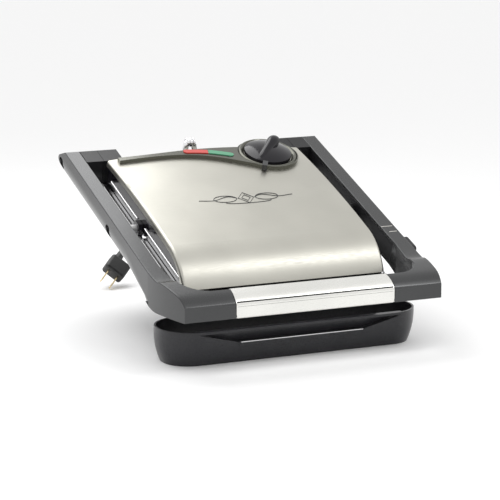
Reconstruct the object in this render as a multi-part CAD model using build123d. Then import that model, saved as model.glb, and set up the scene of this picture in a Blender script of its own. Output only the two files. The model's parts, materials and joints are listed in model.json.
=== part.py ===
from build123d import *
import math
import os

# Panini press: a contact grill standing on front legs and a fold-out rear stand, so that its deck slopes towards
# a loose drip tray. A U-shaped handle frame hinges at the rear; the upper housing floats on pivots halfway along
# the arms. Millimetres and degrees, +Z up, +X to the right seen from the front, -Y to the front.
# Most parts are drawn flat in the "deck" frame (x right, y rearwards, z square to the deck, with y = 0 and z = 0
# at the rear end of the arms' top) and then tilted into place. The handle's front, the legs, the tray and the
# cord are drawn level, with y = 0 at the front of the handle.

# ---------------------------------------------------------------- driving dimensions
TILT = 20.3             # slope of the deck, rear end up
DECK_Y = 309.3          # deck origin, behind the front of the handle
DECK_Z = 179.2          # deck origin, above the table
CENTRE_X = 5.2          # middle of the overall width, which the lock slider widens on one side
CENTRE_Y = 167.0        # middle of the overall depth

HALF_W = 150.0          # outer faces of the arms
ARM_W = 16.5
ARM_H = 28.0
PIVOT = (9.0, -18.0)    # rear hinge axis, deck y and z
END_R = 10.0            # rounding round the rear hinge
MID = (-138.0, -18.0)   # floating pivot of the upper housing
MID_BOSS_R = 7.5
BEND = (-225.0, 0.0)    # where the arms begin to bend towards level
NARROWING_Y = 74.8      # the arms' outer faces draw in from here to the front
FRONT_HALF_W = 141.5    # half the width over the front corners
BAR_DEPTH = 18.0
BAR_BOTTOM = 54.6       # height of the handle's underside
GRIP_HALF = 87.0        # half length of the steel grip

COVER_HALF = 113.5
COVER_T = 1.0
SKIRT_BOTTOM = -20.0
PLATE_HALF = 105.0
PLATE_REAR = -38.0
PLATE_FRONT = -250.0
BASE_HALF = 112.0
BASE_TOP = -28.0
BASE_BOTTOM = -66.0
BASE_FRONT = -262.0
BASE_REAR = 4.0
RIM_TOP = -21.0

KNOB = (68.0, -48.0)    # thermostat axis, deck x and y
DIAL_R = 26.0
DIAL_FOOT = 9.0         # heights of the dial over the deck
DIAL_EDGE = 12.2
DIAL_CROWN = 18.0
BEZEL_R = 34.0          # round end of the control panel
BEZEL_IN = 26.8         # raised ring round the dial
BEZEL_OUT = 32.5
CLIP_TURN = 241.0       # direction of the fixed index clip on the bezel
KNOB_TURN = 45.0        # direction of the high end of the knob's grip

TRAY_HALF = 142.0
TRAY_Y = (31.0, 110.0)
TRAY_H = 36.0
TRAY_WALL = 2.2
LEDGE_Z = 22.8          # finger ledge in the tray's front wall
LEDGE_HALF = 71.0

PIN_R = 5.0
RUN = 0.05              # radial running clearance of pins and shafts

CORD_R = 3.25
COIL_AT = (72.0, 445.0)             # middle of the coil of spare cord
COIL_R = 37.0
COIL_SWEEP = 780.0                  # degrees wound, falling one cord diameter a turn
COIL_START = 60.0
CORD_FLOOR = 3.4                    # height of the cord's centre where it lies on the table
EXIT_X = 96.0

LEVEL = Pos(-CENTRE_X, -CENTRE_Y, 0)
DECK = Pos(-CENTRE_X, DECK_Y - CENTRE_Y, DECK_Z) * Rot(TILT, 0, 0)
COS, SIN = math.cos(math.radians(TILT)), math.sin(math.radians(TILT))

parts = {}


# ---------------------------------------------------------------- helpers
def block(x0, x1, y0, y1, z0, z1):
    return Pos((x0 + x1) / 2, (y0 + y1) / 2, (z0 + z1) / 2) * Box(x1 - x0, y1 - y0, z1 - z0)


def both(shape):
    """The shape and its mirror image across the middle plane."""
    return shape + mirror(shape, Plane.YZ)


def rod_x(r, x0, x1, at):
    """Round bar along x, centred on at = (y, z)."""
    return Pos((x0 + x1) / 2, at[0], at[1]) * Rot(0, 90, 0) * Cylinder(r, x1 - x0)


def rod_z(r, at, z0, z1):
    return Pos(at[0], at[1], (z0 + z1) / 2) * Cylinder(r, z1 - z0)


def prism_x(points, x0, x1):
    """A y-z outline given by points, or by edges, extruded from x0 to x1."""
    wires = Polyline(*points, close=True) if isinstance(points, list) else points
    return Pos(x0, 0, 0) * extrude(Plane.YZ * make_face(wires), amount=x1 - x0)


def prism_z(face, z0, z1):
    return Pos(0, 0, z0) * extrude(face, amount=z1 - z0)


def slab(half_x, y0, y1, z0, z1, r):
    """Plate with rounded corners in plan."""
    face = Pos(0, (y0 + y1) / 2) * RectangleRounded(2 * half_x, y1 - y0, r)
    return prism_z(face, z0, z1)


def on_deck(y, z):
    """Level (y, z) of a deck point."""
    return (DECK_Y + y * COS - z * SIN, DECK_Z + y * SIN + z * COS)


def deck_to_level(shape):
    return Pos(0, DECK_Y, DECK_Z) * Rot(TILT, 0, 0) * shape


def keep(name, shape, frame):
    parts[name] = frame * shape


# ---------------------------------------------------------------- handle frame
NOSE = math.radians(90 - 33.6)      # the arms' rear end slopes down to its rounding
NOSE_TANGENT = (PIVOT[0] + END_R * math.cos(NOSE), PIVOT[1] + END_R * math.sin(NOSE))
NOSE_BACK = (PIVOT[0] + END_R, PIVOT[1])
NOSE_BOTTOM = (PIVOT[0], PIVOT[1] - END_R)
TOP_LIP = (22.0, 82.3)              # front end of the straight top, level frame
CREASE = (1.2, 70.9)                # fold line between the bar's top and its face
UNDER_BEND = (54.0, BAR_BOTTOM)


def arm_profile():
    """Side outline of an arm and of the handle's front, level frame."""
    nose = [on_deck(*p) for p in ((0, 0), NOSE_TANGENT, NOSE_BACK, NOSE_BOTTOM)]
    under = on_deck(-230, -ARM_H)
    return (
        Line(nose[0], nose[1])
        + ThreePointArc(nose[1], nose[2], nose[3])
        + Line(nose[3], under)
        + Spline(under, UNDER_BEND, tangents=((-COS, -SIN), (-1, 0)))
        + Line(UNDER_BEND, (1.6, BAR_BOTTOM))
        + ThreePointArc((1.6, BAR_BOTTOM), (0.5, BAR_BOTTOM + 0.5), (0, BAR_BOTTOM + 1.6))
        + Line((0, BAR_BOTTOM + 1.6), (0, 67.4))
        + ThreePointArc((0, 67.4), (0.3, 69.4), CREASE)
        + Spline(CREASE, (9.5, 78.0), TOP_LIP, (45.0, 87.0), on_deck(*BEND),
                 tangents=((0.62, 0.78), (COS, SIN)))
        + Line(on_deck(*BEND), nose[0])
    )


def frame_plan():
    """U-shaped plan of the handle frame, level frame."""
    bend_y = NARROWING_Y
    w = HALF_W
    f = FRONT_HALF_W
    outer = make_face(
        Line((-w, 400), (-w, bend_y))
        + ThreePointArc((-w, bend_y), (-w + 2.6, bend_y / 2), (-f, 0.8))
        + Line((-f, 0.8), (-GRIP_HALF, 0))
        + Line((-GRIP_HALF, 0), (GRIP_HALF, 0))
        + Line((GRIP_HALF, 0), (f, 0.8))
        + ThreePointArc((f, 0.8), (w - 2.6, bend_y / 2), (w, bend_y))
        + Line((w, bend_y), (w, 400))
        + Line((w, 400), (-w, 400))
    )
    i, r = HALF_W - ARM_W, 28.0
    inner = make_face(
        Line((-i, 401), (-i, 84))
        + Line((-i, 84), (-i + 3.5, BAR_DEPTH + r))
        + RadiusArc((-i + 3.5, BAR_DEPTH + r), (-i + 3.5 + r, BAR_DEPTH), -r)
        + Line((-i + 3.5 + r, BAR_DEPTH), (i - 3.5 - r, BAR_DEPTH))
        + RadiusArc((i - 3.5 - r, BAR_DEPTH), (i - 3.5, BAR_DEPTH + r), -r)
        + Line((i - 3.5, BAR_DEPTH + r), (i, 84))
        + Line((i, 84), (i, 401))
        + Line((i, 401), (-i, 401))
    )
    return outer - inner


def handle_bar(inset):
    """Front bar between the arms, shrunk by overlapping its section with copies moved to every side."""
    box = Rectangle(BAR_DEPTH, 60, align=(Align.MIN, Align.MIN))
    whole = make_face(arm_profile()) & (Pos(0, 40) * box)
    section = whole
    for turn in range(0, 360, 45) if inset else ():
        angle = math.radians(turn)
        section = section & (Pos(inset * math.cos(angle), inset * math.sin(angle)) * whole)
    return Pos(-GRIP_HALF, 0, 0) * extrude(Plane.YZ * section, amount=2 * GRIP_HALF)


def under_roll():
    """What is cut from the left arm so that its outer lower edge is a quarter ellipse, deck frame."""
    sections = []
    out = 3.0
    for y, a, b in ((30, 9.0, 18.0), (-190, 9.0, 18.0), (-225, 5.0, 10.0), (-262, 0.5, 1.0)):
        mid_x, mid_z = -HALF_W + a, -ARM_H + b
        arc = EllipticalCenterArc((mid_x, mid_z), a, b, start_angle=180, arc_size=90)
        sides = Polyline((mid_x, -ARM_H), (mid_x, -ARM_H - out), (-HALF_W - out, -ARM_H - out),
                         (-HALF_W - out, mid_z), (-HALF_W, mid_z))
        sections.append(Pos(0, y, 0) * (Plane.XZ * make_face(arc + sides)))
    return loft(sections, ruled=True)


def top_edges(arm):
    """Edges where the top of an arm meets its inner and outer faces."""
    found = []
    for edge in arm.edges():
        middle = edge @ 0.5
        run = edge % 0.5
        if edge.length < 5 or abs(run.X) > 0.95 or middle.X > -GRIP_HALF - 1 or middle.Y > DECK_Y:
            continue
        if middle.Y > NARROWING_Y + 10:
            height = DECK_Z - (DECK_Y - middle.Y) * SIN / COS
        else:
            height = TOP_LIP[1] + (middle.Y - TOP_LIP[0]) * 0.2
        if abs(middle.Z - height) < 5:
            found.append(edge)
    return found


def make_handle():
    solid = prism_x(arm_profile(), -HALF_W - 5, HALF_W + 5) & prism_z(frame_plan(), 0, 300)
    corner = Polyline((-200, -10), (-GRIP_HALF, -10), (-GRIP_HALF, 500), (-200, 500), close=True)
    left = solid & prism_z(make_face(corner), 0, 300)
    # the upper edges have a small round; the outer lower edge rolls under and fades out towards the front
    left = left - deck_to_level(under_roll())
    left = fillet(top_edges(left), 1.0)
    # pocket for the steel bar, open on the inner side and closed by the liner
    pocket = block(-146.5, -HALF_W + ARM_W, -232, -24, -23, -5)
    liner_seat = block(-HALF_W + ARM_W - 2.0, -HALF_W + ARM_W, -235, -21, -25, -3)
    mid_boss = rod_x(MID_BOSS_R, -146.5, -HALF_W + ARM_W, MID)
    left = left - deck_to_level((pocket + liner_seat) - mid_boss)
    # bores for the pins and recesses for the screws
    for at in (PIVOT, MID):
        left = left - deck_to_level(rod_x(PIN_R, -143.0, -110, at) + rod_x(7.0, -155, -143.0, at))
    nose = Pos(0, -DECK_Y, -DECK_Z) * prism_x(arm_profile(), -HALF_W + ARM_W, -114.0)
    nose = Rot(-TILT, 0, 0) * nose & block(-140, -100, -24, 40, -60, 20)
    boss = nose + rod_x(MID_BOSS_R, -HALF_W + ARM_W, -127.0, MID)
    for at in (PIVOT, MID):
        boss = boss - rod_x(PIN_R, -143.0, -110, at)
    keep("left_arm_bosses", boss, DECK)
    keep("right_arm_bosses", mirror(boss, Plane.YZ), DECK)
    rail_socket = block(-128, -GRIP_HALF, 5, 13, 60, 70)
    left = left - rail_socket
    right = mirror(left, Plane.YZ)
    # track of the lock slider
    right = right - deck_to_level(block(144, 151, -238, -200, -17, -9))
    keep("left_arm", left, LEVEL)
    keep("right_arm", right, LEVEL)
    liner = block(-HALF_W + ARM_W - 2.0, -HALF_W + ARM_W, -235, -21, -25, -3)
    liner = liner - rod_x(MID_BOSS_R, -150, -120, MID)
    keep("left_arm_liner", liner, DECK)
    keep("right_arm_liner", mirror(liner, Plane.YZ), DECK)
    bar = block(-146.5, -143.0, -230, -26, -21, -7) - rod_x(MID_BOSS_R, -150, -120, MID)
    keep("arm_stiffeners", both(bar), DECK)
    keep("handle_rail", block(-128, 128, 5, 13, 60, 70), LEVEL)
    core = handle_bar(1.0) - block(-200, 200, 5, 13, 60, 70)
    keep("grip_core", core, LEVEL)
    keep("grip_sleeve", handle_bar(0) - handle_bar(1.0), LEVEL)
    keep("hinge_pins", both(rod_x(PIN_R, -143.0, -93.0, PIVOT)), DECK)
    keep("float_pins", both(rod_x(PIN_R, -143.0, -115.0, MID)), DECK)
    screws = [rod_x(4.6, -146.0, -143.0, at) - rod_x(1.6, -147, -144.4, at) for at in (PIVOT, MID)]
    keep("arm_screws", both(screws[0] + screws[1]), DECK)


# ---------------------------------------------------------------- lock on the right arm
def make_lock():
    guide = block(HALF_W, HALF_W + 2.4, -242, -196, -22, -4)
    guide = fillet(guide.edges().filter_by(Axis.X), 3)
    guide = guide - block(144, 160, -238, -200, -17, -9)
    keep("lock_guide", guide, DECK)
    thumb = prism_x([(-241, -20.5), (-216, -20.5), (-216, -5.5), (-241, -5.5)], HALF_W + 2.8, HALF_W + 10.4)
    thumb = fillet(thumb.edges().filter_by(Axis.X), 4)
    thumb = fillet(thumb.faces().sort_by(Axis.X)[-1].edges(), 2.4)
    stem = block(146.6, HALF_W + 2.8, -237.6, -224, -16.6, -9.4)
    keep("lock_slider", thumb + stem, DECK)


# ---------------------------------------------------------------- upper housing
TOP_REAR = (-20.0, 3.8)
TOP_CROWN = (-125.0, 8.5)
TOP_KNEE = (-215.0, 6.6)
CURL_MID = (-244.0, -2.3)
CURL_END = (-262.0, -18.6)


def top_curve(drop):
    """Side line of the cover, or a line parallel to it at drop below."""
    curl_in = drop * 0.75
    rear = (TOP_REAR[0], TOP_REAR[1] - drop)
    knee = (TOP_KNEE[0], TOP_KNEE[1] - drop)
    mid = (CURL_MID[0] + curl_in * 0.5, CURL_MID[1] - drop * 0.9)
    end = (CURL_END[0] + curl_in, CURL_END[1] - drop * 0.66)
    crown = (TOP_CROWN[0], TOP_CROWN[1] - drop)
    return ThreePointArc(rear, crown, knee) + ThreePointArc(knee, mid, end), rear, end


def under_curve(drop, floor, half):
    """Solid under the cover line at drop, down to floor."""
    curve, rear, end = top_curve(drop)
    low_front = (end[0], floor)
    low_rear = (rear[0], floor)
    wires = curve + Line(end, low_front) + Line(low_front, low_rear) + Line(low_rear, rear)
    return prism_x(wires, -half, half)


def top_plan(inset):
    """Plan of the upper housing: a bowed rear edge and rounded front corners."""
    half = COVER_HALF - inset
    rear, bow, front = -32.0 - inset, -22.0 - inset, -264.0 + inset
    face = make_face(
        Line((-half, front), (-half, rear))
        + ThreePointArc((-half, rear), (0, bow), (half, rear))
        + Line((half, rear), (half, front))
        + Line((half, front), (-half, front))
    )
    corners = [v for v in face.vertices() if v.Y < front + 1]
    return fillet(corners, 7.0)


def make_cover():
    outer = under_curve(0, -40, COVER_HALF + 5) & prism_z(top_plan(0), -40, 30)
    inner = under_curve(COVER_T, -40, COVER_HALF + 5) & prism_z(top_plan(COVER_T), -40, 30)
    flange = under_curve(7.0, -60, COVER_HALF + 5)
    side = [e for e in outer.edges() if abs(abs(e.center().X) - COVER_HALF) < 0.2 and e.center().Z > 0
            and e.length > 100]
    outer = fillet(side, 3.0)
    inner_side = [e for e in inner.edges() if abs(abs(e.center().X) - COVER_HALF + COVER_T) < 0.2
                  and e.center().Z > 0 and e.length > 100]
    inner = fillet(inner_side, 2.0)
    cover = outer - inner - flange - block(-200, 200, -300, -240, -70, CURL_END[1])
    cover = cover - rod_z(4.5, KNOB, -20, 40)
    for x, y in ((-11.0, -34.0), (12.0, -40.5)):
        cover = cover - rod_z(3.0, (x, y), -20, 40)
    keep("top_cover", cover, DECK)


def make_skirt():
    outer = under_curve(COVER_T + 0.3, SKIRT_BOTTOM, 130) & prism_z(top_plan(COVER_T + 0.3), SKIRT_BOTTOM, 30)
    side = [e for e in outer.edges() if abs(abs(e.center().X) - COVER_HALF + COVER_T + 0.3) < 0.2
            and e.center().Z > 0 and e.length > 100]
    outer = fillet(side, 2.6)
    inner = prism_z(top_plan(COVER_T + 3.0), SKIRT_BOTTOM - 1, 30)
    ring = outer - inner
    ring = ring - both(rod_x(PIN_R + 3, -125, -100, MID))
    keep("upper_skirt", ring, DECK)
    bracket = block(-118.0, -112.6, MID[0] - 7.5, MID[0] + 7.5, -25.5, -10.5)
    bracket = fillet(bracket.edges().filter_by(Axis.X), 4) - rod_x(PIN_R + RUN, -130, -100, MID)
    keep("pivot_brackets", both(bracket), DECK)


def ridges(z0, z1, y0, y1, count, pitch, width):
    ribs = [block(i * pitch - width / 2, i * pitch + width / 2, y0, y1, z0, z1)
            for i in range(-(count // 2), count // 2 + 1)]
    return ribs[0].fuse(*ribs[1:])


def heater(z, r=3.2):
    """Tubular heating element: a hairpin loop with both ends at the rear."""
    y0, y1, x1, x2 = -62.0, -226.0, 78.0, 26.0
    pts = [(-x2, y0, z), (-x2, y1 + 46, z), (-x1, y1 + 46, z), (-x1, y1, z),
           (x1, y1, z), (x1, y1 + 46, z), (x2, y1 + 46, z), (x2, y0, z)]
    path = FilletPolyline(*pts, radius=16)
    ring = sweep(Plane(origin=pts[0], z_dir=(0, -1, 0)) * Circle(r), path=path)
    return ring


def make_upper_inside():
    plate = slab(PLATE_HALF, PLATE_FRONT, PLATE_REAR, -27, -22, 8)
    plate = plate + ridges(-29, -27, PLATE_FRONT + 8, PLATE_REAR - 8, 15, 12.5, 4.0)
    lugs = [block(s * 96 - 5, s * 96 + 5, y - 5, y + 5, -22, -12) for s in (-1, 1) for y in (-60, -228)]
    plate = plate.fuse(*lugs)
    keep("upper_plate", plate, DECK)
    keep("upper_element", heater(-18.7), DECK)
    shield = slab(PLATE_HALF - 1, PLATE_FRONT + 6, PLATE_REAR - 3, -12, -11.2, 6)
    keep("upper_heat_shield", shield, DECK)
    screws = [rod_z(3.5, (s * 96, y), -11.2, -8.7) + rod_z(1.9, (s * 96, y), -8.7, -8.2)
              for s in (-1, 1) for y in (-60, -228)]
    keep("upper_plate_screws", screws[0].fuse(*screws[1:]), DECK)
    body = rod_z(13, KNOB, -10.9, -1.5) - rod_z(3.05, KNOB, -9, 0)
    body = body + block(KNOB[0] - 24, KNOB[0] + 24, KNOB[1] - 5, KNOB[1] + 5, -10.9, -8.6)
    body = body - rod_z(3.05, KNOB, -9, 0)
    keep("thermostat", body, DECK)


# ---------------------------------------------------------------- control panel, lamps and knob
def panel_plan(inset=0.0):
    r = BEZEL_R - inset
    crescent = make_face(
        Line((-103, -42), (-103, -34.5))
        + Spline((-103, -34.5), (-54, -30.0), (-5, -26.0), (42, -28.0), tangents=((1, 0.06), (1, -0.1)))
        + Line((42, -28.0), (KNOB[0], KNOB[1]))
        + Line((KNOB[0], KNOB[1]), (45.5, -72.5))
        + Spline((45.5, -72.5), (12.6, -52.0), (-22, -39.2), (-56, -37.4), (-103, -42),
                 tangents=((-1, 0.62), (-1, -0.14)))
    )
    return crescent + Pos(*KNOB) * Circle(r)


LENS_LINE = [(-21.5, -31.6), (-10.5, -33.4), (1.4, -36.0), (1.9, -36.1), (12.5, -40.6), (23.5, -46.2)]


def lens_face(a, b, c, width):
    """Lens strip bent along three points, with one end round."""
    strip = trace(ThreePointArc(a, b, c), line_width=width)
    round_end = a if a == LENS_LINE[0] else c
    return strip + Pos(*round_end) * Circle(width / 2)


def make_bezel():
    """Raised rounded ring round the dial."""
    mid = (BEZEL_IN + BEZEL_OUT) / 2
    foot, top = 8.4, 10.8
    section = make_face(
        Line((BEZEL_IN, 2.0), (BEZEL_OUT, 2.0))
        + Line((BEZEL_OUT, 2.0), (BEZEL_OUT, foot))
        + ThreePointArc((BEZEL_OUT, foot), (mid + 1.8, top - 0.5), (mid, top))
        + Line((mid, top), (BEZEL_IN, foot))
        + Line((BEZEL_IN, foot), (BEZEL_IN, 2.0))
    )
    return Pos(*KNOB, 0) * revolve(Plane.XZ * section, Axis.Z) - under_curve(0, -40, COVER_HALF + 5)


def make_controls():
    body = under_curve(-4.0, -10, 130) & prism_z(panel_plan(), -10, 30)
    body = body - (under_curve(0, -40, COVER_HALF + 5))
    body = body - rod_z(BEZEL_OUT + 0.5, KNOB, -20, 40)
    slots = []
    for a, b, c in (LENS_LINE[:3], LENS_LINE[3:]):
        slots.append(prism_z(lens_face(a, b, c, 8.4), 0, 30))
    for slot in slots:
        body = body - slot
    keep("control_panel", body, DECK)
    keep("knob_bezel", make_bezel(), DECK)
    clip = block(28.5, 39.5, -2.8, 2.8, 8.2, 14.6) - block(28, 37.6, -5, 5, 6, 13.7)
    clip = Pos(KNOB[0], KNOB[1], 0) * Rot(0, 0, CLIP_TURN) * clip
    keep("index_clip", clip, DECK)
    names = ("lens_red", "lens_green")
    for name, (a, b, c) in zip(names, (LENS_LINE[:3], LENS_LINE[3:])):
        lens = prism_z(lens_face(a, b, c, 8.2), 0, 30) & under_curve(-5.0, -10, 130)
        lens = lens - under_curve(-0.4, -40, 130)
        keep(name, lens, DECK)
    for name, at in (("lamp_red", (-11.0, -34.0)), ("lamp_green", (12.0, -40.5))):
        lamp = rod_z(2.4, at, -6, 2.2)
        keep(name, lamp, DECK)


def make_knob():
    turn = Pos(KNOB[0], KNOB[1], 0) * Rot(0, 0, KNOB_TURN)
    half = make_face(
        Line((0, DIAL_FOOT), (DIAL_R, DIAL_FOOT))
        + Line((DIAL_R, DIAL_FOOT), (DIAL_R, DIAL_EDGE))
        + ThreePointArc((DIAL_R, DIAL_EDGE), (DIAL_R / 2, DIAL_CROWN - 1.5), (0, DIAL_CROWN))
        + Line((0, DIAL_CROWN), (0, DIAL_FOOT))
    )
    dome = revolve(Plane.XZ * half, Axis.Z)
    sections = []
    stations = [(-24, 10.0, 12.5), (-14, 11.0, 17.6), (-2, 10.4, 21.4), (9, 13.0, 24.4), (22, 13.0, 21.6)]
    for x, wide, high in stations:
        shoulder = high - 0.36 * wide
        outline = (
            Line((-wide / 2, 4), (-wide / 2, shoulder))
            + ThreePointArc((-wide / 2, shoulder), (0, high), (wide / 2, shoulder))
            + Line((wide / 2, shoulder), (wide / 2, 4))
            + Line((wide / 2, 4), (-wide / 2, 4))
        )
        sections.append(Plane.YZ.offset(x) * make_face(outline))
    length = Pos(-1.5, 0, 10) * SlotOverall(42, 13.5)
    blade = loft(sections) & extrude(length, amount=40)
    dial = dome + blade
    dial = dial - rod_z(3.0, (0, 0), 0, 16)
    keep("knob", turn * dial, DECK)
    shaft = rod_z(3.0, (0, 0), -8.0, 16)
    keep("knob_shaft", turn * shaft, DECK)


# ---------------------------------------------------------------- conduit between the housings
def make_conduit():
    pts = [(-14, -18.5, -16), (-14, -11.0, -3), (-12.5, -8.0, 7.2),
           (-4.5, -8.0, 7.2), (-3, -11, -3), (-3, -18.5, -16)]
    path = FilletPolyline(*pts, radius=[6, 3.6, 3.6, 6])
    tube = sweep(Plane(origin=pts[0], z_dir=Vector(*pts[1]) - Vector(*pts[0])) * Circle(3.4), path=path)
    keep("steel_conduit", tube, DECK)


# ---------------------------------------------------------------- base
def make_base():
    side = [(BASE_REAR, BASE_TOP), (BASE_REAR, -50.0), (-12.0, BASE_BOTTOM), (-232.0, BASE_BOTTOM),
            (BASE_FRONT, -48.0), (BASE_FRONT, BASE_TOP)]
    inside = [(BASE_REAR - 2.5, BASE_TOP - 2.5), (BASE_REAR - 2.5, -49.0), (-13.0, BASE_BOTTOM - 1),
              (-231.0, BASE_BOTTOM - 1), (BASE_FRONT + 2.5, -47.0), (BASE_FRONT + 2.5, BASE_TOP - 2.5)]
    shell = prism_x(side, -BASE_HALF, BASE_HALF)
    shell = fillet([e for e in shell.edges().filter_by(Axis.Z)], 9.0)
    cavity = prism_x(inside, -BASE_HALF + 2.5, BASE_HALF - 2.5)
    shell = shell - cavity
    shell = shell - slab(PLATE_HALF + 3.5, PLATE_FRONT - 3.5, PLATE_REAR + 3.5, BASE_TOP - 3, BASE_TOP + 1, 9)
    shell = shell - block(-16.2, 16.2, BASE_FRONT - 1, -250, -42.2, -32.0)
    keep("base_shell", shell, DECK)
    rim = slab(117.0, -265.0, -30.0, BASE_TOP, RIM_TOP, 12)
    rim = rim - slab(PLATE_HALF + 3.5, PLATE_FRONT - 3.5, PLATE_REAR + 3.5, BASE_TOP - 1, RIM_TOP + 1, 9)
    rim = chamfer(rim.faces().sort_by(Axis.Z)[-1].edges(), 1.5)
    rim = rim - both(block(-125, -111, MID[0] - 15, MID[0] + 15, BASE_TOP - 1, RIM_TOP + 1))
    keep("base_rim", rim, DECK)
    outline = (
        Polyline((-24, BASE_TOP), (-24, 0), (0, 0), NOSE_TANGENT)
        + ThreePointArc(NOSE_TANGENT, NOSE_BACK, NOSE_BOTTOM)
        + Line(NOSE_BOTTOM, (-24, BASE_TOP))
    )
    ear = prism_x(outline, 91.5, 113.6)
    ear = ear - rod_x(PIN_R + RUN, 80, 120, PIVOT)
    keep("left_hinge_block", mirror(ear, Plane.YZ), DECK)
    keep("right_hinge_block", ear, DECK)
    plate = slab(PLATE_HALF, PLATE_FRONT, PLATE_REAR, -38, -32.2, 8)
    plate = plate + ridges(-32.2, -30, PLATE_FRONT + 8, PLATE_REAR - 8, 15, 12.5, 4.0)
    spout = block(-16, 16, -274, PLATE_FRONT + 8, -42, -38)
    spout = spout + both(block(-16, -13.5, -274, PLATE_FRONT, -38, -33))
    plate = plate + spout
    lugs = [rod_z(5, (s * 90, y), -50, -38) for s in (-1, 1) for y in (-60, -226)]
    plate = plate.fuse(*lugs)
    keep("lower_plate", plate, DECK)
    keep("lower_element", heater(-41.3), DECK)
    shield = slab(PLATE_HALF - 1, PLATE_FRONT + 8, PLATE_REAR - 3, -50.8, -50, 6)
    keep("lower_heat_shield", shield, DECK)
    bottom = slab(BASE_HALF - 4, -231.0, -8.0, BASE_BOTTOM - 2.5, BASE_BOTTOM, 8)
    vents = [block(x - 2, x + 2, -190, -150, -80, -50) for x in range(-40, 41, 10)]
    bottom = bottom - vents[0].fuse(*vents[1:])
    keep("bottom_cover", bottom, DECK)
    posts = [rod_z(3.4, (s * 90, y), BASE_BOTTOM, -50.8) for s in (-1, 1) for y in (-60, -226)]
    keep("spacer_posts", posts[0].fuse(*posts[1:]), DECK)
    screws = [rod_z(3.4, (s * 90, y), -70.3, BASE_BOTTOM - 2.5) for s in (-1, 1) for y in (-60, -226)]
    keep("bottom_screws", screws[0].fuse(*screws[1:]), DECK)
    keep("terminal_block", block(-20, 14, -34, -14, -64, -52), DECK)
    rear_pads = [rod_z(7, (s * 96, -24), -73, BASE_BOTTOM - 2.5) for s in (-1, 1)]
    keep("rear_pads", rear_pads[0] + rear_pads[1], DECK)


def make_legs():
    leg = loft([
        Pos(-80, 131, 3) * Rectangle(22, 12),
        Pos(-80, 136, 60) * Rectangle(30, 22),
    ])
    under = Rot(TILT, 0, 0) * Pos(0, 0, BASE_BOTTOM - 2.5 - 100) * Box(400, 900, 200)
    under = Pos(0, DECK_Y, DECK_Z) * under
    leg = leg & under
    keep("front_legs", both(leg), LEVEL)
    keep("leg_pads", both(Pos(-80, 131, 1.5) * Box(20, 10, 3)), LEVEL)


# ---------------------------------------------------------------- rear stand
STAND_PIVOT = (-46.0, -74.5)        # deck y and z
STAND_FOOT = (318.0, 0.0)           # level y and z


def make_stand():
    py, pz = on_deck(*STAND_PIVOT)
    fy, fz = STAND_FOOT
    reach = math.hypot(fy - py, pz - fz)
    lean = math.degrees(math.atan2(fy - py, pz - fz))
    place = Pos(0, py, pz) * Rot(lean, 0, 0)
    panel = slab(42, -2.5, 2.5, -reach + 4, -7, 1.0)
    panel = panel - block(-28, 28, -5, 5, -reach + 20, -22)
    eyes = [rod_x(5.0, x - 8, x + 8, (0, 0)) + block(x - 8, x + 8, -2.5, 2.5, -8, 0) for x in (-30, 30)]
    panel = panel + eyes[0] + eyes[1]
    panel = panel - rod_x(2.5 + RUN, -60, 60, (0, 0))
    keep("rear_stand", place * panel, LEVEL)
    foot = [block(x - 8, x + 8, -4.0, 4.0, -reach - 6, -reach + 4) for x in (-32, 32)]
    foot = place * (foot[0] + foot[1])
    keep("stand_pads", foot - Pos(0, 300, -20) * Box(300, 200, 40), LEVEL)
    lugs = []
    for x in (-19.5, 19.5, -40.5, 40.5):
        lug = rod_x(4.2, x - 2.2, x + 2.2, STAND_PIVOT)
        lug = lug + block(x - 2.2, x + 2.2, STAND_PIVOT[0] - 4.2, STAND_PIVOT[0] + 4.2, STAND_PIVOT[1],
                          BASE_BOTTOM - 2.5)
        lugs.append(lug)
    lugs = lugs[0].fuse(*lugs[1:]) - rod_x(2.5, -60, 60, STAND_PIVOT)
    keep("stand_lugs", lugs, DECK)
    keep("stand_pin", rod_x(2.5, -43, 43, STAND_PIVOT), DECK)


# ---------------------------------------------------------------- drip tray
def tray_outline(half, y0, y1, r):
    return Pos(0, (y0 + y1) / 2) * RectangleRounded(2 * half, y1 - y0, r)


def finger_recess(grow):
    """Hollow under the front rim: a long trapezoid with a ledge along its bottom."""
    z0, z1 = LEDGE_Z - grow, TRAY_H - 2.6 + grow
    top, low = LEDGE_HALF + 42.0, LEDGE_HALF
    outline = Polyline((-top - grow, z1), (-low - grow, z0), (low + grow, z0), (top + grow, z1), close=True)
    wedge = extrude(Plane.XZ * make_face(outline), amount=-60)
    front = TRAY_Y[0]
    back = prism_x([(front - 30, z0 - 1), (front + 9.5 + grow, z0 - 1), (front + 6.5 + grow, z1 + 1),
                    (front - 30, z1 + 1)], -200, 200)
    return wedge & back


def ledge_lip():
    """Lip that stands out of the wall below the hollow and fades out at both ends."""
    front = TRAY_Y[0] + 0.4
    low = LEDGE_Z - 9.5
    section = [(front, LEDGE_Z), (front, LEDGE_Z - 1.0), (front + 5.6, low), (front + 9, low), (front + 9, LEDGE_Z)]
    rib = prism_x(section, -LEDGE_HALF, LEDGE_HALF)
    ends = Polyline((-LEDGE_HALF, LEDGE_Z), (-LEDGE_HALF + 9, LEDGE_Z - 12), (LEDGE_HALF - 9, LEDGE_Z - 12),
                    (LEDGE_HALF, LEDGE_Z), close=True)
    return rib & extrude(Plane.XZ * make_face(ends), amount=-60)


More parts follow.
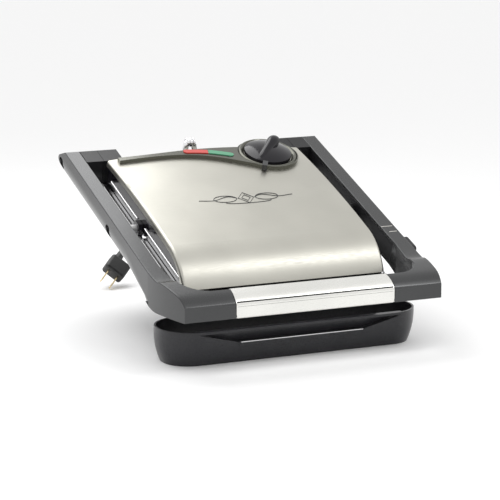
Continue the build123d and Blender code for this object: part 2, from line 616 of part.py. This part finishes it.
def make_tray():
    y0, y1 = TRAY_Y
    w = TRAY_WALL
    outer = loft([tray_outline(136, 42, 101.5, 27), Pos(0, 0, 9) * tray_outline(139.4, 37.5, 105.5, 32),
                  Pos(0, 0, TRAY_H) * tray_outline(TRAY_HALF, y0, y1, 38)])
    inner = loft([Pos(0, 0, w) * tray_outline(136 - w, 42 + w, 101.5 - w, 27 - w),
                  Pos(0, 0, 9 + w) * tray_outline(139.4 - w, 37.5 + w, 105.5 - w, 32 - w),
                  Pos(0, 0, TRAY_H + 2) * tray_outline(TRAY_HALF - w + 0.2, y0 + w - 0.2, y1 - w + 0.2, 38 - w)])
    tray = (outer - finger_recess(0) + ledge_lip()) - (inner - finger_recess(w))
    brow = [e for e in tray.edges().filter_by(Axis.X) if (e @ 0.5).Y < TRAY_Y[0] + 1.2 and e.length > 100
            and abs((e @ 0.5).Z - LEDGE_Z) < 0.2]
    tray = fillet(brow, 0.7)
    keep("drip_tray", tray, LEVEL)


# ---------------------------------------------------------------- cord and plug
EXIT = Vector(EXIT_X, *on_deck(-4.0, -58.0))
EXIT_DIR = Vector(0, COS + SIN, SIN - COS).normalized()
RELIEF = 24.0
PLUG_AT = Vector(-48, 425, 21.2)
VIEW_R = Vector(0.909, -0.417, 0)       # the plug lies turned about the upright axis
VIEW_F = Vector(0.417, 0.909, 0)
BLADE_DIR = (VIEW_R * -0.42 + VIEW_F * -0.74 + Vector(0, 0, -0.52)).normalized()
SPREAD = (VIEW_R * 0.792 + Vector(0, 0, -0.61)).normalized()
PLUG_LONG, PLUG_WIDE, PLUG_THICK = 22.0, 26.0, 16.0
SLEEVE = 14.0


def tube(points, radius):
    runs = [Vector(*b) - Vector(*a) for a, b in zip(points, points[1:])]
    radii = []
    for first, second in zip(runs, runs[1:]):
        half_turn = math.radians(first.get_angle(second) / 2)
        radii.append(0.45 * min(first.length, second.length) / math.tan(half_turn))
    path = FilletPolyline(*points, radius=radii)
    solid = sweep(Plane(origin=points[0], z_dir=runs[0]) * Circle(radius), path=path)
    section = math.pi * radius ** 2 * path.length
    print("tube length", round(path.length, 1), "radii", [round(r) for r in radii],
          "volume ratio", round(solid.volume / section, 4))
    return solid


def make_cord():
    relief_end = EXIT + EXIT_DIR * RELIEF
    relief = Plane(origin=EXIT, z_dir=EXIT_DIR) * Pos(0, 0, RELIEF / 2) * Cone(5.6, 4.2, RELIEF)
    collar = Plane(origin=EXIT, z_dir=EXIT_DIR) * Pos(0, 0, -1.5) * Cylinder(4.5, 3)
    keep("strain_relief", relief + collar, LEVEL)
    parts["base_shell"] = parts["base_shell"] - LEVEL * collar
    plug_frame = Plane(origin=PLUG_AT, x_dir=SPREAD, z_dir=BLADE_DIR)
    body = Box(PLUG_WIDE, PLUG_THICK, PLUG_LONG)
    body = fillet(body.edges(), 3.5)
    sleeve = Pos(-5, 0, -PLUG_LONG / 2 - SLEEVE / 2 + 1) * Cone(3.8, 5.2, SLEEVE + 2)
    keep("plug_body", plug_frame * (body + sleeve), LEVEL)
    blades = []
    for side in (-1, 1):
        blade = Pos(side * 6.35, 0, PLUG_LONG / 2 + 8) * Box(1.5, 6.3, 16)
        blades.append(blade - Pos(side * 6.35, 0, PLUG_LONG / 2 + 12) * Rot(0, 90, 0) * Cylinder(1.6, 4))
    keep("plug_blades", plug_frame * (blades[0] + blades[1]), LEVEL)
    sleeve_end = PLUG_AT + SPREAD * -5 + BLADE_DIR * -(PLUG_LONG / 2 + SLEEVE)
    drop = COIL_SWEEP / 360 * 2 * CORD_R + 0.4
    coil_in = (COIL_AT[0] + COIL_R * math.cos(math.radians(COIL_START)),
               COIL_AT[1] + COIL_R * math.sin(math.radians(COIL_START)), CORD_FLOOR + drop)
    lead = sleeve_end + BLADE_DIR * -36
    plug_side = [tuple(sleeve_end), tuple(lead), (22, 470, 46), (46, 478, 31), (69, 481, 21), coil_in]
    keep("cord_plug_end", tube(plug_side, CORD_R), LEVEL)
    bend = relief_end + EXIT_DIR * 34
    base_side = [tuple(relief_end), tuple(bend), (100, 392, 56), (102.5, 394, 29), (105, 406, 10.5),
                 (107.5, 425, CORD_FLOOR), (COIL_AT[0] + COIL_R, COIL_AT[1], CORD_FLOOR)]
    keep("cord_base_end", tube(base_side, CORD_R), LEVEL)
    top = CORD_FLOOR + drop + CORD_R
    coil = rod_z(COIL_R + CORD_R, COIL_AT, 0.2, top) - rod_z(COIL_R - CORD_R, COIL_AT, -1, top + 1)
    keep("cord_coil", coil, LEVEL)
    print("plug sleeve end", sleeve_end, "relief end", relief_end)


make_handle()
make_lock()
make_cover()
make_skirt()
make_upper_inside()
make_controls()
make_knob()
make_conduit()
make_base()
make_legs()
make_stand()
make_tray()
make_cord()

os.makedirs("parts", exist_ok=True)
fixed = Compound([shape for name, shape in parts.items() if not name.startswith(("cord", "plug", "strain"))])
print("overall", fixed.bounding_box())
for name, shape in parts.items():
    export_step(shape, f"parts/{name}.step")
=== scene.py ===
import json
import math

import bmesh
import bpy
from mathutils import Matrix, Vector


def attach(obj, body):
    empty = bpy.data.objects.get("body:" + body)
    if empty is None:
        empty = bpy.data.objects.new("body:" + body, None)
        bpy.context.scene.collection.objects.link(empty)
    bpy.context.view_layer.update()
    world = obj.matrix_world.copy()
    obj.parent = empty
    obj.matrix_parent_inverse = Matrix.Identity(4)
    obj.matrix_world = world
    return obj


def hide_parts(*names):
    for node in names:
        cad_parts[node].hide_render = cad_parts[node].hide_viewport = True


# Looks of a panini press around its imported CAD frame. The row frame is in metres, +Z up, -Y to the front.
# Lengths below are in millimetres. Only the camera, the cord's stated length, the floor and the lights are
# in metres.
# "Deck" coordinates lie in the sloping plane of the handle's arms: x to the right, a rearwards along the
# slope and n square to it, with a = n = 0 at the rear end of the arms' top.

MM = 0.001
TILT = math.radians(20.3)
ROW_ORIGIN = Vector((5.2, 167.0, 0.0))      # the row's origin in level millimetres from the handle's front
DECK_ORIGIN = Vector((0.0, 309.3, 179.2))
SIDES = ((-1, "left"), (1, "right"))

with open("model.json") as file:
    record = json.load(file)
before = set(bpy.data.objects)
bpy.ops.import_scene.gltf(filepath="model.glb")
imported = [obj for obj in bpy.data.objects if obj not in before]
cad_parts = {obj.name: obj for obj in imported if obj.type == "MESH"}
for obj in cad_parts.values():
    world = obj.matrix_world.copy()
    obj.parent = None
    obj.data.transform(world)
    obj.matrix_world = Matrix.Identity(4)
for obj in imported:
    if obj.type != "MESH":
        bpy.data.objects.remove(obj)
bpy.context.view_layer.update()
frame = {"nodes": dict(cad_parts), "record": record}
nodes = frame["nodes"]


def level(x, y, z):
    """A point given in millimetres from the front of the handle, in the row frame."""
    return (Vector((x, y, z)) - ROW_ORIGIN) * MM


def deck(x, a, n):
    """A point given in millimetres in the deck frame, in the row frame."""
    along = Vector((0, math.cos(TILT), math.sin(TILT)))
    up = Vector((0, -math.sin(TILT), math.cos(TILT)))
    return (DECK_ORIGIN + Vector((x, 0, 0)) + along * a + up * n - ROW_ORIGIN) * MM


# ---------------------------------------------------------------- camera
VIEW_TURN = math.radians(24.63)             # the camera stands to the left of the front
VIEW_RISE = math.radians(11.3)
VIEW_REACH = 2.3235
VIEW_TARGET = Vector((-0.0012, 0.0006, 0.0852))
VIEW_DEPTH = 50.0
LENS = 158.4
SENSOR_WIDTH = 36.0


def make_camera():
    back = Vector((-math.sin(VIEW_TURN) * math.cos(VIEW_RISE),
                   -math.cos(VIEW_TURN) * math.cos(VIEW_RISE),
                   math.sin(VIEW_RISE)))
    data = bpy.data.cameras.new("camera")
    data.lens = LENS
    data.sensor_width = SENSOR_WIDTH
    data.clip_end = VIEW_DEPTH
    camera = bpy.data.objects.new("camera", data)
    camera.location = VIEW_TARGET + back * VIEW_REACH
    camera.rotation_euler = back.to_track_quat("Z", "Y").to_euler()
    bpy.context.scene.collection.objects.link(camera)
    bpy.context.scene.camera = camera


# ---------------------------------------------------------------- mains cord
CORD_RADIUS = 3.25
CORD_FLOOR = 3.4                            # height of the centre line where the cord lies on the table
CORD_SPAN_STEPS = 8
CORD_ROUNDNESS = 6
COIL_AT = (72.0, 445.0)
COIL_RADIUS = 37.0
COIL_SWEEP = 780.0                          # degrees
COIL_END = 60.0                             # degrees, where the cord leaves the top of the coil
COIL_STEPS = 35
COIL_SPARE = 0.4                            # added to the height of the stacked turns
BASE_SIDE = [(96, 347.5, 113.4), (96, 378.4, 99.2), (100, 392, 56), (102.5, 394, 29), (105, 406, 10.5),
             (107.5, 425, CORD_FLOOR)]
PLUG_SIDE = [(69, 481, 21), (46, 478, 31), (22, 470, 46), (-9.4, 457.1, 56.1), (-34.3, 439.1, 37.3)]


def coil_points():
    """Turns of the spare cord, from the lowest to the highest, a little over a diameter apart."""
    drop = COIL_SWEEP / 360 * 2 * CORD_RADIUS + COIL_SPARE
    points = []
    for step in range(COIL_STEPS + 1):
        done = step / COIL_STEPS
        angle = math.radians(COIL_END - COIL_SWEEP * (1 - done))
        points.append((COIL_AT[0] + COIL_RADIUS * math.cos(angle), COIL_AT[1] + COIL_RADIUS * math.sin(angle),
                       CORD_FLOOR + drop * done))
    return points


def make_cord():
    route = BASE_SIDE + coil_points() + PLUG_SIDE
    data = bpy.data.curves.new("mains_cord", "CURVE")
    data.dimensions = "3D"
    spline = data.splines.new("NURBS")
    spline.points.add(len(route) - 1)
    for point, place in zip(spline.points, route):
        point.co = (*level(*place), 1.0)
        point.radius = CORD_RADIUS * MM
    spline.order_u = 3
    spline.use_endpoint_u = True
    spline.resolution_u = CORD_SPAN_STEPS
    data.bevel_depth = 1.0      # times each point's radius, which keeps the curve's own bounds tight
    data.bevel_resolution = CORD_ROUNDNESS
    data.use_fill_caps = True
    cord = bpy.data.objects.new("mains_cord", data)
    bpy.context.scene.collection.objects.link(cord)
    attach(cord, "base")
    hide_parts("cord_base_end", "cord_coil", "cord_plug_end")
    return cord


make_camera()
cord = make_cord()


# ---------------------------------------------------------------- materials
EVEN = (1, 1, 1)
ACROSS = (0.04, 1, 1)                       # draws the noise out into brush marks along x
COAT_ROUGHNESS = 0.08
ROUGH_BAND = (0.3, 0.7)                     # share of the noise's range that drives the roughness
COLOR_BAND = (0.35, 0.65)                   # and the colour
PLASTIC_PATCH = 35.0
PLASTIC_TINT = (0.9, 1.1)
PLASTIC_ROUGH = 0.05
PLASTIC_DEPTH = 0.05
LEAST_ROUGH = 0.04
METAL_PATCH = 60.0
METAL_TINT = (0.96, 1.03)
METAL_ROUGH = 0.06
METAL_DEPTH = 0.02


def new_material(name, color, rough, metal=0.0, coat=0.0, specular=0.5):
    mat = bpy.data.materials.new(name)
    mat.use_nodes = True
    shader = mat.node_tree.nodes["Principled BSDF"]
    shader.inputs["Base Color"].default_value = (*color, 1)
    shader.inputs["Roughness"].default_value = rough
    shader.inputs["Metallic"].default_value = metal
    shader.inputs["Specular IOR Level"].default_value = specular
    if coat:
        shader.inputs["Coat Weight"].default_value = coat
        shader.inputs["Coat Roughness"].default_value = COAT_ROUGHNESS
    mat.diffuse_color = (*color, 1)
    return mat


def add_noise(mat, size_mm, detail, stretch=EVEN):
    """Noise texture in object space whose features are about size_mm across."""
    tree = mat.node_tree
    coord = tree.nodes.new("ShaderNodeTexCoord")
    mapping = tree.nodes.new("ShaderNodeMapping")
    mapping.inputs["Scale"].default_value = [s * 1000.0 / size_mm for s in stretch]
    mapping.inputs["Rotation"].default_value = (-TILT, 0, 0)
    noise = tree.nodes.new("ShaderNodeTexNoise")
    noise.inputs["Scale"].default_value = 1.0
    noise.inputs["Detail"].default_value = detail
    tree.links.new(coord.outputs["Object"], mapping.inputs["Vector"])
    tree.links.new(mapping.outputs["Vector"], noise.inputs["Vector"])
    return noise.outputs["Fac"]


def vary_color(mat, factor, low, high):
    tree = mat.node_tree
    ramp = tree.nodes.new("ShaderNodeValToRGB")
    for stop, place, color in zip(ramp.color_ramp.elements, COLOR_BAND, (low, high)):
        stop.position = place
        stop.color = (*color, 1)
    tree.links.new(factor, ramp.inputs["Fac"])
    tree.links.new(ramp.outputs["Color"], tree.nodes["Principled BSDF"].inputs["Base Color"])


def vary_rough(mat, factor, low, high):
    tree = mat.node_tree
    ramp = tree.nodes.new("ShaderNodeMapRange")
    ramp.inputs["From Min"].default_value = ROUGH_BAND[0]
    ramp.inputs["From Max"].default_value = ROUGH_BAND[1]
    ramp.inputs["To Min"].default_value = low
    ramp.inputs["To Max"].default_value = high
    tree.links.new(factor, ramp.inputs["Value"])
    tree.links.new(ramp.outputs["Result"], tree.nodes["Principled BSDF"].inputs["Roughness"])


def add_bump(mat, factor, strength, depth_mm):
    tree = mat.node_tree
    bump = tree.nodes.new("ShaderNodeBump")
    bump.inputs["Strength"].default_value = strength
    bump.inputs["Distance"].default_value = depth_mm * MM
    tree.links.new(factor, bump.inputs["Height"])
    tree.links.new(bump.outputs["Normal"], tree.nodes["Principled BSDF"].inputs["Normal"])


def plastic(name, color, rough, grain_mm, grain, coat=0.0, specular=0.5):
    mat = new_material(name, color, rough, coat=coat, specular=specular)
    fine = add_noise(mat, grain_mm, detail=3)
    wide = add_noise(mat, PLASTIC_PATCH, detail=3)
    darker, lighter = PLASTIC_TINT
    vary_color(mat, wide, [c * darker for c in color], [c * lighter for c in color])
    vary_rough(mat, fine, max(rough - PLASTIC_ROUGH, LEAST_ROUGH), rough + PLASTIC_ROUGH)
    if grain:
        add_bump(mat, fine, grain, PLASTIC_DEPTH)
    return mat


def metal(name, color, rough, grain_mm, stretch, grain=0.12, metallic=1.0):
    mat = new_material(name, color, rough, metal=metallic)
    brushed = add_noise(mat, grain_mm, detail=2, stretch=stretch)
    wide = add_noise(mat, METAL_PATCH, detail=2)
    darker, lighter = METAL_TINT
    vary_color(mat, wide, [c * darker for c in color], [min(c * lighter, 1.0) for c in color])
    vary_rough(mat, brushed, rough - METAL_ROUGH, rough + METAL_ROUGH)
    add_bump(mat, brushed, grain, METAL_DEPTH)
    return mat


materials = {
    "black_plastic": plastic("black_plastic", (0.010, 0.010, 0.011), 0.42, 0.8, 0.15, specular=0.3),
    "gloss_black": plastic("gloss_black", (0.008, 0.007, 0.010), 0.12, 3.0, 0.0, specular=0.35),
    "arm_grey": metal("arm_grey", (0.068, 0.069, 0.070), 0.24, 0.5, EVEN, 0.02, metallic=0.7),
    "panel_grey": metal("panel_grey", (0.12, 0.12, 0.10), 0.24, 0.5, EVEN, 0.03, metallic=0.7),
    "tray_charcoal": plastic("tray_charcoal", (0.020, 0.020, 0.023), 0.3, 0.6, 0.1, specular=0.4),
    "white_plastic": plastic("white_plastic", (0.75, 0.73, 0.68), 0.4, 2.0, 0.05),
    "plug_plastic": plastic("plug_plastic", (0.018, 0.018, 0.018), 0.4, 0.7, 0.2),
    "cover_steel": metal("cover_steel", (0.52, 0.51, 0.46), 0.40, 0.35, ACROSS, 0.05),
    "grip_steel": metal("grip_steel", (0.80, 0.795, 0.76), 0.26, 0.3, ACROSS, 0.03),
    "zinc_steel": metal("zinc_steel", (0.6, 0.6, 0.61), 0.35, 1.0, EVEN),
    "element": metal("element", (0.22, 0.2, 0.19), 0.5, 2.0, EVEN),
    "polished_trim": metal("polished_trim", (0.85, 0.85, 0.86), 0.14, 4.0, EVEN, 0.04),
    "grill_plate": plastic("grill_plate", (0.03, 0.03, 0.032), 0.42, 0.9, 0.35),
    "shield": metal("shield", (0.8, 0.8, 0.8), 0.32, 2.0, EVEN),
    "rubber_pad": plastic("rubber_pad", (0.02, 0.02, 0.02), 0.75, 0.8, 0.4),
    "cord_sheath": plastic("cord_sheath", (0.014, 0.014, 0.014), 0.42, 1.2, 0.15),
    "blade_brass": metal("blade_brass", (0.75, 0.62, 0.38), 0.28, 1.0, EVEN),
    "red_lens": plastic("red_lens", (0.50, 0.03, 0.02), 0.22, 2.0, 0.0, coat=0.3),
    "green_lens": plastic("green_lens", (0.05, 0.27, 0.14), 0.22, 2.0, 0.0, coat=0.3),
    "lamp_glass": plastic("lamp_glass", (0.8, 0.7, 0.6), 0.1, 4.0, 0.0),
}
cord.data.materials.append(materials["cord_sheath"])
for part in frame["record"]["subparts"]:
    piece = nodes[part["node"]]
    piece.data.materials.clear()
    piece.data.materials.append(materials[part["material_slot"]])


# ---------------------------------------------------------------- small pieces that only Blender has
WIRE_ROUNDNESS = 2


def full_turn(steps):
    """Angles spaced evenly round one full turn."""
    return [2 * math.pi * k / steps for k in range(steps)]


def wire(name, runs, radius, slot, body, closed=False):
    """Round wires of one piece, each through the points of one run, in the row frame."""
    data = bpy.data.curves.new(name, "CURVE")
    data.dimensions = "3D"
    for places in runs:
        spline = data.splines.new("POLY")
        spline.points.add(len(places) - 1)
        for point, place in zip(spline.points, places):
            point.co = (*place, 1.0)
        spline.use_cyclic_u = closed
    data.bevel_depth = radius * MM
    data.bevel_resolution = WIRE_ROUNDNESS
    data.use_fill_caps = not closed
    curve = bpy.data.objects.new(name + "_line", data)
    bpy.context.scene.collection.objects.link(curve)
    graph = bpy.context.evaluated_depsgraph_get()
    mesh = bpy.data.meshes.new_from_object(curve.evaluated_get(graph))
    bpy.data.objects.remove(curve)
    mesh.name = name
    piece = bpy.data.objects.new(name, mesh)
    bpy.context.scene.collection.objects.link(piece)
    for polygon in mesh.polygons:
        polygon.use_smooth = True
    mesh.materials.clear()
    mesh.materials.append(materials[slot])
    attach(piece, body)
    return piece


# Ornament. Its middle and its sizes are measured along the deck.
COVER_LINE = ((-20.0, 3.8), (-125.0, 8.5), (-215.0, 6.6))       # a and n of three points of the cover's top
EMBLEM_AT = (4.0, -137.0)
EMBLEM_RISE = 0.1
EMBLEM_WIRE = 0.42
EMBLEM_STEPS = 28
LOOP_OUT = 24
LOOP_HALF_WIDE = 13
LOOP_HALF_TALL = 6.5
TAIL_OUT = 10
TAIL_REACH = 44
TAIL_SWING = 5.5
DIAMOND_REACHES = (5.0, 9.0)
DIAMOND_STRETCH = 1.2
UNDER_HALF = 26
UNDER_DROP = 11
UNDER_CURL = 3.0


def curve_top(a):
    """Height of the cover over the deck, on the curve through the three points of COVER_LINE."""
    total = 0.0
    for i, (ai, ni) in enumerate(COVER_LINE):
        term = ni
        for j, (aj, _) in enumerate(COVER_LINE):
            if i != j:
                term *= (a - aj) / (ai - aj)
        total += term
    return total


def on_cover(x, a):
    return deck(x, a, curve_top(a) + EMBLEM_RISE)


def emblem_wire(name, places, closed=False):
    wire("emblem_" + name, [places], EMBLEM_WIRE, "arm_grey", "upper", closed)


def make_emblem():
    """Ornament without letters: a loop and a tail to each side of two nested diamonds, over a shallow arc."""
    mid_x, mid_a = EMBLEM_AT
    for side, name in SIDES:
        loop_x = mid_x + side * LOOP_OUT
        loop = [on_cover(loop_x + LOOP_HALF_WIDE * math.cos(t), mid_a + LOOP_HALF_TALL * math.sin(t))
                for t in full_turn(EMBLEM_STEPS)]
        emblem_wire("loop_" + name, loop, True)
        tail = []
        for k in range(EMBLEM_STEPS + 1):
            u = k / EMBLEM_STEPS
            swing = TAIL_SWING * math.sin(2.0 * math.pi * u) * (1 - u)
            tail.append(on_cover(mid_x + side * (TAIL_OUT + TAIL_REACH * u), mid_a + swing))
        emblem_wire("tail_" + name, tail)
    for number, reach in enumerate(DIAMOND_REACHES):
        tall = reach * DIAMOND_STRETCH
        corners = [(reach, 0), (0, tall), (-reach, 0), (0, -tall)]
        emblem_wire("diamond_%d" % number, [on_cover(mid_x + dx, mid_a + da) for dx, da in corners], True)
    under = []
    for k in range(EMBLEM_STEPS + 1):
        t = (k / EMBLEM_STEPS - 0.5) * math.pi
        curl = UNDER_CURL * (1 - math.cos(t))
        under.append(on_cover(mid_x + UNDER_HALF * math.sin(t), mid_a - UNDER_DROP + curl))
    emblem_wire("under", under)


LOCK_MARKS = (("lock_mark_open", -204.0, 134.0), ("lock_mark_shut", -215.0, 138.0))     # name, a, first x
LOCK_MARK_END = 147.0
LOCK_MARK_WIRE = 0.35


def make_lock_marks():
    """Plain bars on the right arm beside the two stops of the lock."""
    for name, a, start in LOCK_MARKS:
        places = [deck(start, a, 0.0), deck(LOCK_MARK_END, a, 0.0)]
        wire(name, [places], LOCK_MARK_WIRE, "white_plastic", "handle")


GUARD_RINGS_AT = (-12.4, -8.6, -4.8)
GUARD_RADIUS = 4.3
GUARD_WIRE = 1.0
GUARD_STEPS = 24
GUARD_LINE = (-8.0, 7.2)            # along the slope and over the deck, where the lead crosses at its highest


def make_conduit_rings():
    """Rings of the steel guard round the top of the lead between the two housings."""
    rings = []
    for x in GUARD_RINGS_AT:
        ring = []
        for t in full_turn(GUARD_STEPS):
            along, up = GUARD_RADIUS * math.cos(t), GUARD_RADIUS * math.sin(t)
            ring.append(deck(x, GUARD_LINE[0] + along, GUARD_LINE[1] + up))
        rings.append(ring)
    wire("conduit_rings", rings, GUARD_WIRE, "polished_trim", "upper", True)


GRIP_HALF = 87.0
SET_IN = 0.35                       # how far the front lines' centres lie behind the face
SEAM_LINE = [(0.2, 54.8), (0, 57), (0, 62), (0, 67.4), (0.4, 69.6), (1.4, 71.2), (5.0, 75.2), (9.5, 78.0),
             (14, 79.9), (17.9, 81.2)]      # y and z up the front of the sleeve
SEAM_LOW = 54.8
SEAM_TALL = 26.4
SEAM_INSET = 0.6
SEAM_BOW = 1.6
SEAM_WIRE = 0.42
LINE_INSET = 1
# The black wire along the fold is painted shade in the crease of the sleeve.
FOLD_AT = (1.25, 70.75)             # y and z
FOLD_SHADE_WIRE = 0.8
FRONT_LINE_Z = 66.6
FRONT_LINE_WIRE = 0.4


def grip_span(y, z):
    """The two ends of a line across the front of the grip."""
    reach = GRIP_HALF - LINE_INSET
    return [level(-reach, y, z), level(reach, y, z)]


def make_grip_lines():
    """Dark joints at the ends of the steel sleeve, a black line of painted shade along the fold at its front,
    and the line under the fold.
    """
    for side, name in SIDES:
        places = []
        for y, z in SEAM_LINE:
            bow = SEAM_BOW * math.sin(math.pi * (z - SEAM_LOW) / SEAM_TALL)
            places.append(level(side * (GRIP_HALF - SEAM_INSET + bow), y + SET_IN, z))
        wire("grip_seam_" + name, [places], SEAM_WIRE, "black_plastic", "handle")
    wire("grip_fold_shade", [grip_span(*FOLD_AT)], FOLD_SHADE_WIRE, "black_plastic", "handle")
    wire("grip_line", [grip_span(SET_IN, FRONT_LINE_Z)], FRONT_LINE_WIRE, "arm_grey", "handle")


# The bright wire along the ledge is a painted highlight on the edge of the tray's ledge.
LEDGE_HALF = 68.0
LEDGE_AT = (31.5, 22.7)             # y and z
LEDGE_WIRE = 0.5
# The bright wires on the skirt are painted highlights low on the sides of the upper housing.
SKIRT_OUT = 112.8
SKIRT_DROP = -12.5
SKIRT_RUNS = (("rear", -48.0, -127.0), ("front", -149.0, -250.0))       # name, first and last a
SKIRT_STEPS = 8
SKIRT_WIRE = 0.9


def make_highlight_beads():
    """Painted highlights: a bright wire along the edge of the tray's ledge, and bright wires low on the sides
    of the upper housing.
    """
    ledge = [level(-LEDGE_HALF, *LEDGE_AT), level(LEDGE_HALF, *LEDGE_AT)]
    wire("ledge_painted_highlight", [ledge], LEDGE_WIRE, "polished_trim", "tray")
    for side, name in SIDES:
        for part, rear, front in SKIRT_RUNS:
            run = [deck(side * SKIRT_OUT, rear + (front - rear) * k / SKIRT_STEPS, SKIRT_DROP)
                   for k in range(SKIRT_STEPS + 1)]
            wire("skirt_painted_highlight_%s_%s" % (name, part), [run], SKIRT_WIRE, "polished_trim", "upper")


make_emblem()
make_lock_marks()
make_conduit_rings()
make_grip_lines()
make_highlight_beads()


# ---------------------------------------------------------------- floor and light
FLOOR_SIZE = 12.0
FLOOR_COLOR = (0.97, 0.97, 0.97)
FLOOR_ROUGH = 0.9
FLOOR_SPECULAR = 0.1
WORLD_STRENGTH = 0.95
AREA_LIGHTS = (                     # name, place, aim, width, height, watts
    ("soft_left", (-0.19, 0.4, 0.68), (-0.24, 0.1, 0.1), 0.62, 0.54, 3.0),
    ("key_right", (0.8, -0.95, 1.45), (0, 0, 0.08), 0.28, 0.28, 3.5),
)


def make_stage():
    bm = bmesh.new()
    bmesh.ops.create_grid(bm, x_segments=1, y_segments=1, size=FLOOR_SIZE)
    mesh = bpy.data.meshes.new("floor")
    bm.to_mesh(mesh)
    floor = bpy.data.objects.new("floor", mesh)
    bpy.context.scene.collection.objects.link(floor)
    mat = new_material("floor_paper", FLOOR_COLOR, FLOOR_ROUGH, specular=FLOOR_SPECULAR)
    floor.data.materials.append(mat)


def add_area(name, place, aim, width, height, power):
    data = bpy.data.lights.new(name, "AREA")
    data.shape = "RECTANGLE"
    data.size = width
    data.size_y = height
    data.energy = power
    lamp = bpy.data.objects.new(name, data)
    lamp.location = place
    lamp.rotation_euler = (Vector(place) - Vector(aim)).to_track_quat("Z", "Y").to_euler()
    bpy.context.scene.collection.objects.link(lamp)


def make_light():
    world = bpy.data.worlds.new("studio")
    bpy.context.scene.world = world
    world.use_nodes = True
    background = world.node_tree.nodes["Background"]
    background.inputs["Color"].default_value = (1.0, 1.0, 1.0, 1)
    background.inputs["Strength"].default_value = WORLD_STRENGTH
    for light in AREA_LIGHTS:
        add_area(*light)
    bpy.context.scene.view_settings.view_transform = "Standard"


make_stage()
make_light()
